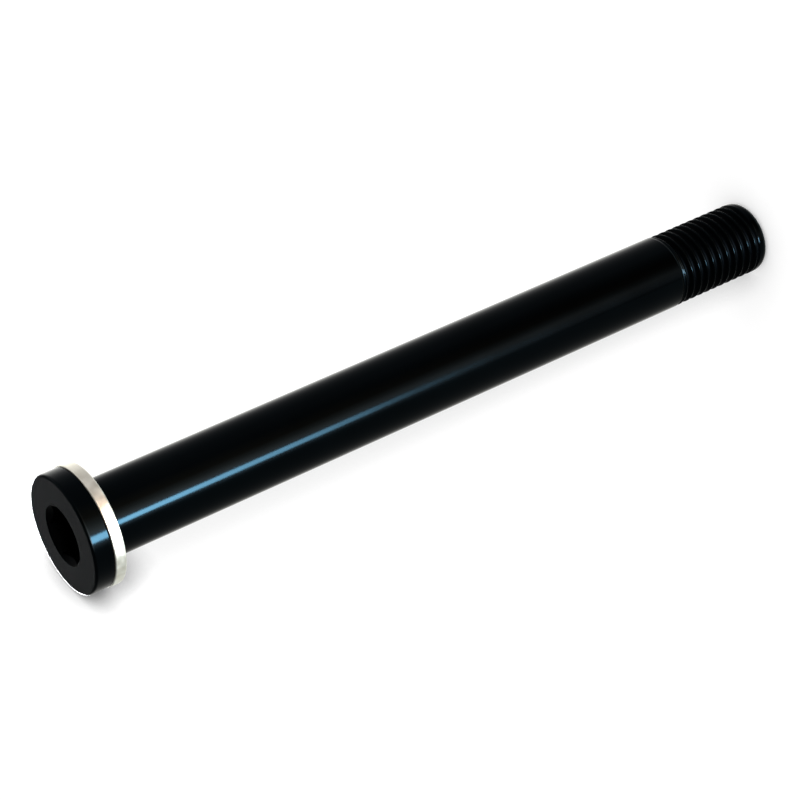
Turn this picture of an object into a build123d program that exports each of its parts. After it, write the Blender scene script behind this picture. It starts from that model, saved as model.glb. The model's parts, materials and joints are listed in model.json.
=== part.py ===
from build123d import *

import math
import os

# Bicycle front thru axle: an axle turned in one piece, with a flat head, a hexagon socket in the head and
# a thread at the far end, and the loose washer that sits under the head.
# The centreline is the Z axis. The axle stands on its tip, with the head at the top.
# The origin is the centre of the washer's seat, the face that bears on the fork.
# Sizes are in millimetres and angles in degrees.

# Lengths along the centreline
grip_length = 125.0  # from the washer's seat to the tip
thread_length = 18.5  # with its run-out
thread_runout = 1.5  # where the crests fall away from the shaft, one pitch
head_thickness = 3.2
washer_thickness = 1.8

# Diameters
shaft_diameter = 12.0
thread_diameter = 11.85  # over the crests, M12 x 1.5
head_diameter = 18.7
bore_diameter = 6.8  # lightening bore, right through

# Hexagon socket
socket_across_flats = 8.0
socket_depth = 8.5
socket_turn = 15.7  # from X to the nearest corner
mouth_margin = 0.2  # countersink's edge beyond the corners
pilot_margin = 0.1  # drilled hole's wall inside the flats
chip_room = 1.5  # drilled depth below the hexagon
drill_point_angle = 118.0

# Relief groove under the head, which lets the washer lie flat against the head
relief_width = 2.0  # with its ramp up to the shaft
relief_depth = 0.2
relief_radius = 0.2

# Edges
head_edge_radius = 0.4
head_back_chamfer = 0.2
tip_chamfer = 0.6
bore_chamfer = 0.4
washer_edge_chamfer = 0.2
washer_bore_chamfer = 0.2

# Washer, made to match the head and to slide on over the shaft
washer_overhang = 0.15  # beyond the head, all round
washer_clearance = 0.08  # between its bore and the shaft, all round

# Places along the centreline
head_back_z = washer_thickness
face_z = head_back_z + head_thickness
tip_z = -grip_length
thread_start_z = tip_z + thread_length


def section(*points):
    """One half of a turned shape's section, from the (radius, z) points round its outline."""
    return make_face(Plane.XZ * Polyline(*points, close=True))


def rounded(face, corner, radius):
    """The section with its corner nearest to a (radius, z) point rounded off."""
    return fillet(face.vertices().sort_by_distance(Plane.XZ.from_local_coords(corner))[0], radius)


def turned(face):
    """The solid that a section sweeps about the centreline."""
    return revolve(face, Axis.Z)


def turned_blank():
    """Head, shaft and thread before the holes are made; the thread is a plain cylinder over its crests."""
    head_radius = head_diameter / 2
    shaft_radius = shaft_diameter / 2
    thread_radius = thread_diameter / 2
    relief_end = head_back_z - relief_width
    relief_floor = shaft_radius - relief_depth
    face = section(
        (0, face_z),
        (head_radius, face_z),
        (head_radius, head_back_z + head_back_chamfer),
        (head_radius - head_back_chamfer, head_back_z),
        (relief_floor, head_back_z),
        (relief_floor, relief_end + relief_depth),
        (shaft_radius, relief_end),
        (shaft_radius, thread_start_z),
        (thread_radius, thread_start_z - thread_runout),
        (thread_radius, tip_z + tip_chamfer),
        (thread_radius - tip_chamfer, tip_z),
        (0, tip_z),
    )
    face = rounded(face, (head_radius, face_z), head_edge_radius)
    face = rounded(face, (relief_floor, head_back_z), relief_radius)
    return turned(face)


def hex_socket():
    """The room of the socket: hexagon, countersunk mouth, and the drilled hole below it with its drill point."""
    apothem = socket_across_flats / 2
    corner_radius = apothem / math.cos(math.radians(30))
    mouth_radius = corner_radius + mouth_margin
    pilot_radius = apothem - pilot_margin
    pilot_end = face_z - socket_depth - chip_room
    point_end = pilot_end - pilot_radius / math.tan(math.radians(drill_point_angle / 2))
    hexagon = RegularPolygon(apothem, 6, major_radius=False, rotation=socket_turn)
    prism = extrude(Plane.XY.offset(face_z) * hexagon, amount=-socket_depth)
    mouth = turned(section((0, face_z), (mouth_radius, face_z), (0, face_z - mouth_radius)))
    pilot = turned(section((0, face_z), (pilot_radius, face_z), (pilot_radius, pilot_end), (0, point_end)))
    return prism + mouth + pilot


def lightening_bore():
    """The room of the bore, with its chamfer at the tip."""
    bore_radius = bore_diameter / 2
    edge_radius = bore_radius + bore_chamfer
    bore = turned(section((0, face_z), (bore_radius, face_z), (bore_radius, tip_z), (0, tip_z)))
    edge = turned(section((0, tip_z), (edge_radius, tip_z), (0, tip_z + edge_radius)))
    return bore + edge


def axle():
    """The axle, one piece."""
    return turned_blank() - hex_socket() - lightening_bore()


def washer():
    """The washer, a plain ring with its edges broken, against the back of the head."""
    bore_radius = shaft_diameter / 2 + washer_clearance
    outer_radius = head_diameter / 2 + washer_overhang
    face = section(
        (bore_radius, head_back_z - washer_bore_chamfer),
        (bore_radius + washer_bore_chamfer, head_back_z),
        (outer_radius - washer_edge_chamfer, head_back_z),
        (outer_radius, head_back_z - washer_edge_chamfer),
        (outer_radius, washer_edge_chamfer),
        (outer_radius - washer_edge_chamfer, 0),
        (bore_radius + washer_bore_chamfer, 0),
        (bore_radius, washer_bore_chamfer),
    )
    return turned(face)


os.makedirs("parts", exist_ok=True)
export_step(axle(), "parts/axle.step")
export_step(washer(), "parts/washer.step")
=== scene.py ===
import json
import math

import bpy
from mathutils import Matrix, Vector


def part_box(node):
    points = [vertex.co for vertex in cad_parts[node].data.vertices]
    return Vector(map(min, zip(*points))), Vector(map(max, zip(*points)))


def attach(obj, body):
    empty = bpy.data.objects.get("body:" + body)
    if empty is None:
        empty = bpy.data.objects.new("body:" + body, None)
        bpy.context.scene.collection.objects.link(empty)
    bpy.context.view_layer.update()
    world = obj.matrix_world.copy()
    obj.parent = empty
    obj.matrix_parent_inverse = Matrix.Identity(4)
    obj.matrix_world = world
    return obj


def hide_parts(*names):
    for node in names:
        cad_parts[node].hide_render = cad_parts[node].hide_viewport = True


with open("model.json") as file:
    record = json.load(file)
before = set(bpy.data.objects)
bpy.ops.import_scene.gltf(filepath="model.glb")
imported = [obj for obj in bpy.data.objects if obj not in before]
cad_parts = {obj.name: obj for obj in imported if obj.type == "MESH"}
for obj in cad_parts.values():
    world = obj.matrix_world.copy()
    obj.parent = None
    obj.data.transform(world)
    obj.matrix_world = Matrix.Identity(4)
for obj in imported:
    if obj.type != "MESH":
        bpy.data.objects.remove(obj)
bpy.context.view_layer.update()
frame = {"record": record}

# Looks of a bicycle thru axle: the black anodised axle with its thread and socket, and the steel washer.
# The centreline is the Z axis, and the axle stands on its tip. Places on the centreline are given by how
# far they are below the washer's seat, in millimetres, and become metres when a mesh is made.

mounts = {mount["name"]: mount for mount in frame["record"]["mounts"]}
METRES = 0.001  # in a millimetre

# Sizes that the frame gives
axle_low, axle_high = (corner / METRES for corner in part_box("axle"))
washer_low, washer_high = (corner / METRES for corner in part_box("washer"))
head_face = -axle_high.z
tip = -axle_low.z
head_radius = axle_high.x
head_back = -washer_high.z
seat = -washer_low.z
washer_radius = washer_high.x
shaft_radius = mounts["shaft"]["dims"]["r_mm"]
shaft_length = mounts["shaft"]["dims"]["length_mm"]
crest_radius = mounts["thread"]["dims"]["r_mm"]
thread_middle = -mounts["thread"]["pos_m"][2] / METRES
thread_wall = mounts["thread"]["dims"]["length_mm"]
wall_start = thread_middle - thread_wall / 2
wall_end = thread_middle + thread_wall / 2

# Sizes of what the frame doesn't measure
pitch = 1.5
thread_start = wall_start - pitch
thread_phase = 0.1  # of a turn
thread_depth = 0.75
crest_flat = 0.14
flank_slope = math.tan(math.radians(30))  # along the centreline for each millimetre of depth
crest_rounding = 0.1
root_rounding = 0.3
tip_round = 1.2
tip_edge = tip - tip_round  # where the wall turns in towards the tip
lead = 0.6  # plain end of the thread, before that edge
lead_fade = 0.7
socket_across_flats = 8.0
socket_depth = 8.5
socket_turn = math.radians(15.7)  # from X towards Y, to a corner
mouth_radius = 4.82
pilot_radius = 3.9
pilot_depth = 10.0
bore_radius = 3.4
bore_chamfer = 0.4
drill_slope = math.tan(math.radians(59))  # of the drill point, out for each millimetre along
head_edge_radius = 0.4
head_back_chamfer = 0.2
relief_depth = 0.2
relief_radius = shaft_radius - relief_depth
relief_corner = 0.2
washer_bore_radius = 6.08
washer_edge_radius = 0.2

# How finely the meshes are cut
columns = 192  # round the centreline, a multiple of the hexagon's six
arc_steps = 6
crest_rows = 1
bend_rows = 4
flank_rows = 3
support = 0.06  # from a rounded edge to the ring that keeps the wall beside it flat
merge_reach = 0.01  # from an end of the thread, where its points fall together with the end's
sharp_turn = math.radians(35)  # between faces, past which an edge is shaded as sharp

# Lathe marks on both finishes
tool_lean = 1.3
wander_scale = 90
wander_detail = 2
wander_size = 0.0004

# Anodised finish
anodise_colours = ((0.0021, 0.0033, 0.0041, 1), (0.0031, 0.0050, 0.0063, 1))
anodise_cloud = (140, 4)  # scale and detail
anodise_marks = (9000, 3)
anodise_mark_depth = 0.0000012  # metres
anodise_roughness = 0.085
anodise_mark_roughness = 0.04
anodise_cloud_roughness = 0.05
anodise_edge_tint = (0.65, 0.65, 0.65, 1)
# Painted shade: a darker base colour in the socket and between the thread's crests, where shade falls;
# these places are also rougher
painted_recess_shade = (0.0008, 0.0011, 0.0014, 1)
dull_roughness = 0.35
shade_and_dull_mouth_margin = 0.03  # inside the socket's mouth, from where it is darkened with painted shade and rougher
shade_and_dull_start = 0.07  # below the crests, from where the thread gets painted shade and more roughness
shade_and_dull_full = 0.16

# Steel finish
steel_colours = ((0.56, 0.54, 0.45, 1), (0.78, 0.77, 0.70, 1))
steel_cloud = (900, 4)  # scale and detail
steel_marks = (14000, 3)
steel_mark_depth = 0.000002  # metres
steel_cloud_span = (0.3, 0.7)
steel_roughness = (0.26, 0.4)
steel_mark_roughness = 0.08

# Floor, and a clear sheet with painted shade beside the washer and the thread
sheet_half = 1.5  # metres
floor_colour = (0.86, 0.86, 0.86, 1)
floor_glow = 0.32
shade_colour = (0.03, 0.03, 0.035, 1)
shade_reach = 0.007  # metres
shade_openness = (0.2, 0.75)  # from the deepest shade to none
shade_strength = 0.85
shade_fade_span = (-0.009, -0.003)  # metres along the sheet, from its faint part up to the washer
shade_fade_strength = 0.3

# Room that gloss shows on the -Y side, by the turn from -X at 0 to +X at 1
room_front = (
    (0.0, (0.9, 0.95, 0.92)),
    (0.06, (5.4, 4.2, 3.8)),
    (0.17, (8.8, 6.5, 5.4)),
    (0.24, (3.4, 2.6, 2.1)),
    (0.31, (1.3, 0.82, 0.54)),
    (0.46, (0.46, 0.43, 0.42)),
    (0.68, (0.60, 0.56, 0.56)),
    (0.80, (0.74, 0.72, 0.72)),
    (0.88, (0.94, 0.91, 0.91)),
    (1.0, (1.58, 1.54, 1.52)),
)

# What the -X end of that side is multiplied by, from straight down at 0 to straight up at 1
room_levels = (
    (0.19, (0.15, 0.15, 0.15)),
    (0.22, (0.15, 0.15, 0.15)),
    (0.27, (0.55, 0.55, 0.55)),
    (0.31, (1, 1, 1)),
    (0.36, (1, 1, 1)),
    (0.42, (2.5, 2.5, 2.5)),
    (0.56, (2.5, 2.5, 2.5)),
    (0.62, (0.2, 0.2, 0.2)),
)
room_levels_edge = (0.4 * math.pi, 0.6 * math.pi)

# Room on the +Y side, below the horizon by the way from -X at 0 to +X at 1, and above it
room_back = (
    (0.25, (0.62, 0.62, 0.60)),
    (0.5, (0.72, 0.72, 0.68)),
    (0.92, (1.9, 1.9, 1.83)),
)
room_back_edge = (-0.03, 0.03)
room_back_above = (0.27, 0.28, 0.28, 1)
horizon_edge = (-0.1, 0.1)
room_below = (1.1, 1.3, 1.25, 1)  # straight down, on either side
room_below_edge = (-0.95, -0.80)

# Light for dull surfaces, and what the camera sees behind the object
plain_light = (0.85, 0.85, 0.85, 1)
background = (1, 1, 1, 1)

# Lamps, with places and sizes in metres
key_place = (0.10, -0.80, 0.15)
key_target = (0, 0, -0.05)
key_size = (0.9, 0.9)
key_radiance = 1.2
lamp_blue = (0.50, 0.83, 1)
lamp_white = (0.95, 0.97, 1)
strip_x = -0.534
strip_y = -0.168
strip_width = 0.118
strips = (  # lower end, upper end, radiance and colour
    (-0.120, 0.150, 60, lamp_white),
    (-0.248, -0.120, 138, lamp_blue),
    (-0.300, -0.248, 82, lamp_blue),
    (-0.328, -0.300, 36, lamp_blue),
)
rim_place = (2.78, 2.88, -0.45)
rim_target = (0, 0, -0.45)
rim_size = (1.5, 1.5)
rim_radiance = 50

# Camera
camera_place = Vector((-249.587, -255.823, 133.136))
camera_right = Vector((-0.58561, -0.02308, -0.81026))
camera_up = Vector((0.52719, -0.77015, -0.35908))
camera_lens = 118.41
camera_sensor = 36
camera_clip = 0.01  # metres


def arc(along, radius, size, start, end):
    """Places (along, radius) on a round about a centre, between two angles in degrees from the tip out."""
    turns = (math.radians(start + (end - start) * step / arc_steps) for step in range(arc_steps + 1))
    return [(along + size * math.cos(turn), radius + size * math.sin(turn)) for turn in turns]


def spread(low, high, count):
    """Some even steps from a low number up to a high one, without the last."""
    return [low + (high - low) * step / count for step in range(count)]


def rows_in_turn():
    """Places of the thread's rows in one turn, from crest to crest, close together at the bends."""
    crest_edge = crest_flat / 2 / pitch
    crest_soft = crest_rounding * flank_slope / pitch
    root_edge = crest_edge + thread_depth * flank_slope / pitch
    root_soft = root_rounding * flank_slope / pitch
    flank = (crest_edge + crest_soft, root_edge - root_soft)
    down = [
        *spread(0, crest_edge - crest_soft, crest_rows),
        *spread(crest_edge - crest_soft, flank[0], bend_rows),
        *spread(*flank, flank_rows),
        *spread(flank[1], root_edge + root_soft, bend_rows),
        root_edge + root_soft,
    ]
    return down + [0.5] + [1 - share for share in reversed(down[1:])]


def column_angle(column):
    """Angle of a column of points, from X towards Y; the first stands on a corner of the socket."""
    return socket_turn + 2 * math.pi * column / columns


class Shell:
    """A mesh made of rings of points about the centreline, each joined to the next."""

    def __init__(self):
        self.points = []
        self.faces = []

    def point(self, along, radius, column):
        """Adds a point in a column and gives its number."""
        angle = column_angle(column)
        place = Vector((radius * math.cos(angle), radius * math.sin(angle), -along))
        self.points.append(place * METRES)
        return len(self.points) - 1

    def ring(self, along, radius):
        """Adds a ring and gives its points' numbers; a list has one value for each column."""
        places = along if isinstance(along, list) else [along] * columns
        radii = radius if isinstance(radius, list) else [radius] * columns
        return [self.point(places[column], radii[column], column) for column in range(columns)]

    def face(self, *corners):
        """Adds a face, without the corners that fall together."""
        kept = [corner for corner, before in zip(corners, corners[-1:] + corners[:-1]) if corner != before]
        if len(kept) > 2:
            self.faces.append(kept)

    def join(self, first, second):
        """Closes the band between two rings."""
        for column in range(columns):
            beside = (column + 1) % columns
            self.face(first[column], second[column], second[beside], first[beside])

    def chain(self, rings):
        """Closes the bands between rings that follow each other."""
        for first, second in zip(rings, rings[1:]):
            self.join(first, second)

    def object(self, name, material):
        """The finished mesh as an object."""
        mesh = bpy.data.meshes.new(name)
        mesh.from_pydata(self.points, [], self.faces)
        mesh.validate()
        mesh.shade_smooth()
        mesh.set_sharp_from_angle(angle=sharp_turn)
        mesh.materials.append(material)
        made = bpy.data.objects.new(name, mesh)
        bpy.context.scene.collection.objects.link(made)
        return made


def soft_min(a, b, width):
    """The smaller of two numbers, with the change from one to the other rounded over a width."""
    overlap = max(width - abs(a - b), 0)
    return min(a, b) - overlap * overlap / (4 * width)


def thread_surface(along, turns):
    """Radius of the thread at a place along the centreline, some turns from the middle of a crest."""
    from_crest = abs(turns - round(turns)) * pitch
    fall = (from_crest - crest_flat / 2) / flank_slope
    fall = soft_min(fall, thread_depth, root_rounding)
    fall = -soft_min(-fall, 0, crest_rounding)
    cut_in = min(max((along - thread_start) / pitch, 0), 1)
    cut_out = min(max((tip_edge - lead - along) / lead_fade, 0), 1)
    crest = shaft_radius + (crest_radius - shaft_radius) * cut_in
    return crest - fall * cut_in * cut_out


def thread_turns(shell, start, end):
    """The right-hand thread between two rings: a grid sheared so that its rows follow the crests."""
    length = tip_edge - thread_start
    turn_rows = rows_in_turn()
    rows_per_turn = len(turn_rows)
    made = {}

    def number(row, column):
        shift, column = divmod(column, columns)
        row -= shift * rows_per_turn
        whole, share = divmod(row, rows_per_turn)
        turns = whole + turn_rows[share]
        along = pitch * (turns + thread_phase - column / columns)
        if along < merge_reach:
            return start[column]
        if along > length - merge_reach:
            return end[column]
        if (row, column) not in made:
            place = thread_start + along
            made[row, column] = shell.point(place, thread_surface(place, turns), column)
        return made[row, column]

    rows = math.ceil((length / pitch + 1) * rows_per_turn)
    for row in range(-rows_per_turn, rows + rows_per_turn):
        for column in range(columns):
            shell.face(
                number(row, column),
                number(row + 1, column),
                number(row + 1, column + 1),
                number(row, column + 1),
            )


def hexagon_radii():
    """Radius of the hexagon in each column."""
    apothem = socket_across_flats / 2
    side = math.pi / 3
    across = ((2 * math.pi * column / columns) % side - side / 2 for column in range(columns))
    return [apothem / math.cos(turn) for turn in across]


def axle_piece(material):
    """The axle, one closed skin: out of the bore, over the socket, head, shaft and thread, and back in."""
    shell = Shell()
    pilot_end = head_face + pilot_depth
    socket_end = head_face + socket_depth
    hexagon = hexagon_radii()
    inner_end = shell.ring(pilot_end + (pilot_radius - bore_radius) / drill_slope, bore_radius)
    rings = [
        inner_end,
        shell.ring(pilot_end, pilot_radius),
        shell.ring(socket_end, pilot_radius),
        shell.ring(socket_end, hexagon),
        shell.ring([head_face + mouth_radius - radius for radius in hexagon], hexagon),
        shell.ring(head_face, mouth_radius),
    ]
    edge = arc(head_face + head_edge_radius, head_radius - head_edge_radius, head_edge_radius, 180, 90)
    corner = arc(head_back + relief_corner, relief_radius + relief_corner, relief_corner, 180, 270)
    shaft_start = thread_start - shaft_length
    outline = [
        (head_face, head_radius - head_edge_radius - support),
        *edge,
        (head_face + head_edge_radius + support, head_radius),
        (head_back - head_back_chamfer, head_radius),
        (head_back, head_radius - head_back_chamfer),
        *corner,
        (shaft_start - relief_depth, relief_radius),
        (shaft_start, shaft_radius),
        (thread_start - support, shaft_radius),
        (thread_start, shaft_radius),
    ]
    rings += [shell.ring(*at) for at in outline]
    tip_rings = [shell.ring(*at) for at in arc(tip_edge, crest_radius - tip_round, tip_round, 90, 0)]
    shell.chain(rings)
    thread_turns(shell, rings[-1], tip_rings[0])
    shell.chain([
        *tip_rings,
        shell.ring(tip, crest_radius - tip_round - support),
        shell.ring(tip, bore_radius + bore_chamfer),
        shell.ring(tip - bore_chamfer, bore_radius),
        inner_end,
    ])
    piece = shell.object("anodised_axle", material)
    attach(piece, "axle")
    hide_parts("axle")


def washer_piece(material):
    """The washer, a plain ring with rounded edges."""
    shell = Shell()
    size = washer_edge_radius
    inner = washer_bore_radius + size
    outer = washer_radius - size
    top = head_back + size
    bottom = seat - size
    outline = [
        *arc(top, inner, size, 270, 180),
        (head_back, inner + support),
        (head_back, outer - support),
        *arc(top, outer, size, 180, 90),
        (top + support, washer_radius),
        (bottom - support, washer_radius),
        *arc(bottom, outer, size, 90, 0),
        (seat, outer - support),
        (seat, inner + support),
        *arc(bottom, inner, size, 360, 270),
        (bottom - support, washer_bore_radius),
        (top + support, washer_bore_radius),
    ]
    rings = [shell.ring(*at) for at in outline]
    shell.chain(rings + rings[:1])
    piece = shell.object("steel_washer", material)
    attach(piece, "washer")
    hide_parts("washer")


class Tree:
    """A node tree, with short ways to add nodes to it."""

    def __init__(self, owner):
        owner.use_nodes = True
        self.nodes = owner.node_tree.nodes
        self.links = owner.node_tree.links

    def feed(self, socket, value):
        """Sets a socket to a value, or links it to another node's output."""
        if isinstance(value, bpy.types.NodeSocket):
            self.links.new(value, socket)
        else:
            socket.default_value = value

    def math(self, operation, *values):
        """A sum of one, two or three numbers."""
        node = self.nodes.new("ShaderNodeMath")
        node.operation = operation
        for socket, value in zip(node.inputs, values):
            self.feed(socket, value)
        return node.outputs[0]

    def vector(self, operation, *values):
        """A sum of vectors."""
        node = self.nodes.new("ShaderNodeVectorMath")
        node.operation = operation
        sockets = [socket for socket in node.inputs if socket.enabled]
        for socket, value in zip(sockets, values):
            self.feed(socket, value)
        return node.outputs["Value" if operation == "LENGTH" else "Vector"]

    def axes(self, vector):
        """The X, Y and Z of a vector, by name."""
        node = self.nodes.new("ShaderNodeSeparateXYZ")
        self.feed(node.inputs[0], vector)
        return node.outputs

    def between(self, value, span, first, last):
        """A number that goes from a first to a last value as another goes over a span."""
        node = self.nodes.new("ShaderNodeMapRange")
        names = ("Value", "From Min", "From Max", "To Min", "To Max")
        for name, given in zip(names, (value, *span, first, last)):
            self.feed(node.inputs[name], given)
        return node.outputs["Result"]

    def blend(self, factor, first, second):
        """A colour between two."""
        node = self.nodes.new("ShaderNodeMix")
        node.data_type = "RGBA"
        for name, given in zip(("Factor_Float", "A_Color", "B_Color"), (factor, first, second)):
            socket = next(socket for socket in node.inputs if socket.identifier == name)
            self.feed(socket, given)
        return next(socket for socket in node.outputs if socket.identifier == "Result_Color")

    def ramp(self, value, stops):
        """A colour picked by a number, from (place, colour) stops."""
        node = self.nodes.new("ShaderNodeValToRGB")
        self.feed(node.inputs["Fac"], value)
        elements = node.color_ramp.elements
        elements.remove(elements[1])
        places = [place for place, _ in stops]
        elements[0].position = places[0]
        for place in places[1:]:
            elements.new(place)
        for element, (_, colour) in zip(elements, stops):
            element.color = (*colour, 1)
        return node.outputs["Color"]

    def pattern(self, dimensions, name, place, scale, detail):
        """A noise pattern, from 0 to 1, read from one of the noise's inputs."""
        node = self.nodes.new("ShaderNodeTexNoise")
        node.noise_dimensions = dimensions
        self.feed(node.inputs[name], place)
        node.inputs["Scale"].default_value = scale
        node.inputs["Detail"].default_value = detail
        return node.outputs["Fac"]

    def noise(self, vector, scale, detail):
        """A cloudy pattern, from 0 to 1."""
        return self.pattern("3D", "Vector", vector, scale, detail)

    def lines(self, place, scale, detail):
        """A pattern of lines of uneven width, from 0 to 1."""
        return self.pattern("1D", "W", place, scale, detail)

    def bump(self, height, depth):
        """A normal tilted by a height, from 0 to 1 of a depth in metres."""
        node = self.nodes.new("ShaderNodeBump")
        node.inputs["Strength"].default_value = 1
        node.inputs["Distance"].default_value = depth
        self.feed(node.inputs["Height"], height)
        return node.outputs["Normal"]

    def output(self, kind, name):
        """An output of a new node without inputs."""
        return self.nodes.new(kind).outputs[name]


def new_material(name):
    """A material with its node tree and shader."""
    material = bpy.data.materials.new(name)
    tree = Tree(material)
    return material, tree, tree.nodes["Principled BSDF"]


def lathe_place(tree):
    """The place on the piece, its distance from the centreline, its height, and where the tool cut it."""
    place = tree.output("ShaderNodeTexCoord", "Object")
    height = tree.axes(place)["Z"]
    radius = tree.vector("LENGTH", tree.vector("MULTIPLY", place, (1, 1, 0)))
    wander = tree.noise(place, wander_scale, wander_detail)
    tool = tree.math("MULTIPLY_ADD", height, tool_lean, radius)
    return place, radius, height, tree.math("MULTIPLY_ADD", wander, wander_size, tool)


def anodised_material():
    """Black anodised aluminium, satin, with faint turning marks; painted shade darkens the socket and the
    thread between crests, which are also rougher.
    """
    material, tree, shader = new_material("black_anodise")
    place, radius, height, tool = lathe_place(tree)
    # painted shade: a mask of the socket and the thread's valleys, which darkens the base colour and adds
    # roughness
    shaded_socket = tree.math("LESS_THAN", radius, (mouth_radius - shade_and_dull_mouth_margin) * METRES)
    shaded_valley_span = ((crest_radius - shade_and_dull_start) * METRES, (crest_radius - shade_and_dull_full) * METRES)
    shaded_valley = tree.between(radius, shaded_valley_span, 0, 1)
    threaded = tree.math("LESS_THAN", height, -thread_start * METRES)
    recess_shade_and_dull = tree.math("MAXIMUM", shaded_socket, tree.math("MULTIPLY", shaded_valley, threaded))
    cloud = tree.noise(place, *anodise_cloud)
    marks = tree.lines(tool, *anodise_marks)
    black = tree.blend(cloud, *anodise_colours)
    # the painted shade darkens the base colour in those places
    tree.feed(shader.inputs["Base Color"], tree.blend(recess_shade_and_dull, black, painted_recess_shade))
    shader.inputs["Metallic"].default_value = 1
    satin = tree.math("MULTIPLY_ADD", marks, anodise_mark_roughness, anodise_roughness)
    satin = tree.math("MULTIPLY_ADD", cloud, anodise_cloud_roughness, satin)
    tree.feed(shader.inputs["Roughness"], tree.math("MULTIPLY_ADD", recess_shade_and_dull, dull_roughness, satin))
    shader.inputs["Specular Tint"].default_value = anodise_edge_tint
    tree.feed(shader.inputs["Normal"], tree.bump(marks, anodise_mark_depth))
    return material


def steel_material():
    """Bare turned steel, with turning marks and a mottled gloss."""
    material, tree, shader = new_material("bare_steel")
    place, _, _, tool = lathe_place(tree)
    cloud = tree.noise(place, *steel_cloud)
    marks = tree.lines(tool, *steel_marks)
    tree.feed(shader.inputs["Base Color"], tree.blend(cloud, *steel_colours))
    shader.inputs["Metallic"].default_value = 1
    gloss = tree.between(cloud, steel_cloud_span, *steel_roughness)
    tree.feed(shader.inputs["Roughness"], tree.math("MULTIPLY_ADD", marks, steel_mark_roughness, gloss))
    tree.feed(shader.inputs["Normal"], tree.bump(marks, steel_mark_depth))
    return material


def seen_by_camera(tree):
    """A value of 1 for rays from the camera, from a gloss or through glass, and 0 for the others."""
    path = tree.nodes.new("ShaderNodeLightPath").outputs
    mirrored = tree.math("MAXIMUM", path["Is Glossy Ray"], path["Is Transmission Ray"])
    return tree.math("MAXIMUM", path["Is Camera Ray"], mirrored)


def staged_sheet(name, colour):
    """A large dull sheet, square to its own Z axis, which isn't part of the object."""
    corners = [(x * sheet_half, y * sheet_half, 0) for x, y in ((-1, -1), (1, -1), (1, 1), (-1, 1))]
    mesh = bpy.data.meshes.new(name)
    mesh.from_pydata(corners, [], [(0, 1, 2, 3)])
    sheet = bpy.data.objects.new(name, mesh)
    bpy.context.scene.collection.objects.link(sheet)
    material, tree, shader = new_material(name + "_finish")
    shader.inputs["Base Color"].default_value = colour
    shader.inputs["Roughness"].default_value = 0.9
    shader.inputs["Specular IOR Level"].default_value = 0.0
    mesh.materials.append(material)
    sheet.visible_diffuse = False
    sheet.visible_shadow = False
    return sheet, tree, shader


def make_floor():
    """The white floor that the axle stands on, which keeps its shadow."""
    floor, tree, shader = staged_sheet("floor", floor_colour)
    floor.location = (0, 0, -tip * METRES)
    floor.visible_glossy = False
    shader.inputs["Emission Color"].default_value = (1, 1, 1, 1)
    tree.feed(shader.inputs["Emission Strength"], tree.math("MULTIPLY", seen_by_camera(tree), floor_glow))


def make_painted_shade_sheet():
    """A clear sheet touching the washer and the thread, which shows painted shade beside them, from in
    front.
    """
    painted_shade_sheet, tree, shader = staged_sheet("painted_shade_sheet", shade_colour)
    lean = math.atan2(washer_radius - crest_radius, wall_end - (seat - washer_edge_radius))
    painted_shade_sheet.location = Vector((0, washer_radius, washer_edge_radius - seat)) * METRES
    painted_shade_sheet.rotation_euler = (math.radians(90) - lean, 0, 0)
    # painted shade: a dark colour that shows where ambient occlusion finds the axle close by
    reach = tree.nodes.new("ShaderNodeAmbientOcclusion")
    reach.inputs["Distance"].default_value = shade_reach
    shade = tree.between(reach.outputs["AO"], shade_openness, shade_strength, 0)
    along = tree.axes(tree.output("ShaderNodeTexCoord", "Object"))["Y"]
    shade_fade = tree.between(along, shade_fade_span, shade_fade_strength, 1)
    front = tree.math("SUBTRACT", 1, tree.output("ShaderNodeNewGeometry", "Backfacing"))
    tree.feed(shader.inputs["Alpha"], tree.math("MULTIPLY", shade, tree.math("MULTIPLY", front, shade_fade)))


def room_light(tree):
    """The room's colour by direction, brightest on the -Y side towards -X."""
    way = tree.axes(tree.output("ShaderNodeTexCoord", "Generated"))
    front = tree.math("MULTIPLY", way["Y"], -1)
    turn = tree.math("ARCTAN2", front, tree.math("MULTIPLY", way["X"], -1))
    height = tree.math("MULTIPLY_ADD", way["Z"], 0.5, 0.5)
    side = tree.math("MULTIPLY_ADD", way["X"], 0.5, 0.5)
    room = tree.ramp(tree.math("DIVIDE", turn, math.pi), room_front)
    levelled = tree.between(turn, room_levels_edge, 1, 0)
    levels = tree.blend(levelled, (1, 1, 1, 1), tree.ramp(height, room_levels))
    above = tree.between(way["Z"], horizon_edge, 0, 1)
    back = tree.blend(above, tree.ramp(side, room_back), room_back_above)
    behind = tree.between(front, room_back_edge, 1, 0)
    level = tree.blend(behind, tree.vector("MULTIPLY", room, levels), back)
    below = tree.between(way["Z"], room_below_edge, 1, 0)
    return tree.blend(below, level, room_below)


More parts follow.
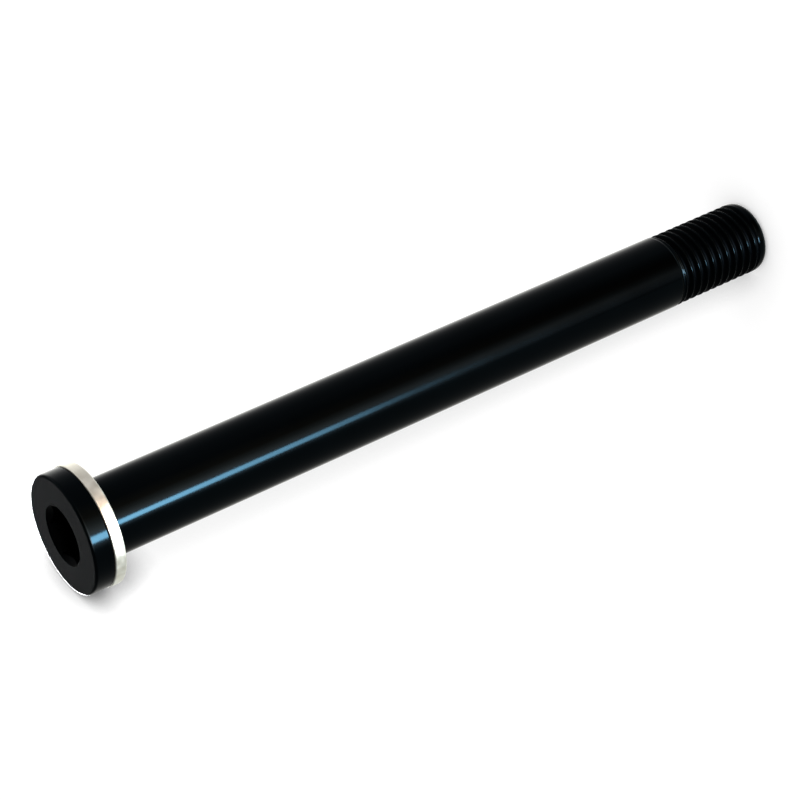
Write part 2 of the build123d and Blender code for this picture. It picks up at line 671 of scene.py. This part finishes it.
def make_world():
    """Plain light for dull surfaces, a soft room for gloss to show, and a white background."""
    world = bpy.data.worlds.new("studio")
    bpy.context.scene.world = world
    tree = Tree(world)
    path = tree.nodes.new("ShaderNodeLightPath").outputs
    light = tree.blend(path["Is Glossy Ray"], plain_light, room_light(tree))
    seen = tree.blend(path["Is Camera Ray"], light, background)
    tree.feed(tree.nodes["Background"].inputs["Color"], seen)


def area_light(name, where, at, size, radiance, colour):
    """A rectangular lamp of a given brightness, pointed at a place."""
    lamp = bpy.data.lights.new(name, "AREA")
    lamp.shape = "RECTANGLE"
    lamp.size, lamp.size_y = size
    lamp.energy = radiance * math.pi * size[0] * size[1]
    lamp.color = colour
    made = bpy.data.objects.new(name, lamp)
    bpy.context.scene.collection.objects.link(made)
    made.location = where
    made.rotation_euler = (Vector(at) - Vector(where)).to_track_quat("-Z", "Y").to_euler()
    return made


def make_lamps():
    """A large soft lamp for the shadows, and strips and a far lamp that only show as reflections."""
    key = area_light("key_lamp", key_place, key_target, key_size, key_radiance, (1, 1, 1))
    key.visible_glossy = False
    for low, high, radiance, colour in strips:
        middle = (low + high) / 2
        size = (strip_width, high - low)
        strip = area_light("strip_lamp", (strip_x, strip_y, middle), (0, 0, middle), size, radiance, colour)
        strip.visible_diffuse = False
    rim = area_light("rim_lamp", rim_place, rim_target, rim_size, rim_radiance, lamp_white)
    rim.visible_diffuse = False


def make_camera():
    """The photograph's camera."""
    data = bpy.data.cameras.new("camera")
    data.sensor_width = camera_sensor
    data.lens = camera_lens
    data.clip_start = camera_clip
    camera = bpy.data.objects.new("camera", data)
    bpy.context.scene.collection.objects.link(camera)
    back = camera_right.cross(camera_up)
    turn = Matrix((camera_right, camera_up, back)).transposed().to_4x4()
    camera.matrix_world = Matrix.Translation(camera_place * METRES) @ turn
    bpy.context.scene.camera = camera


bpy.context.scene.view_settings.view_transform = "Standard"
axle_piece(anodised_material())
washer_piece(steel_material())
make_floor()
make_painted_shade_sheet()
make_world()
make_lamps()
make_camera()
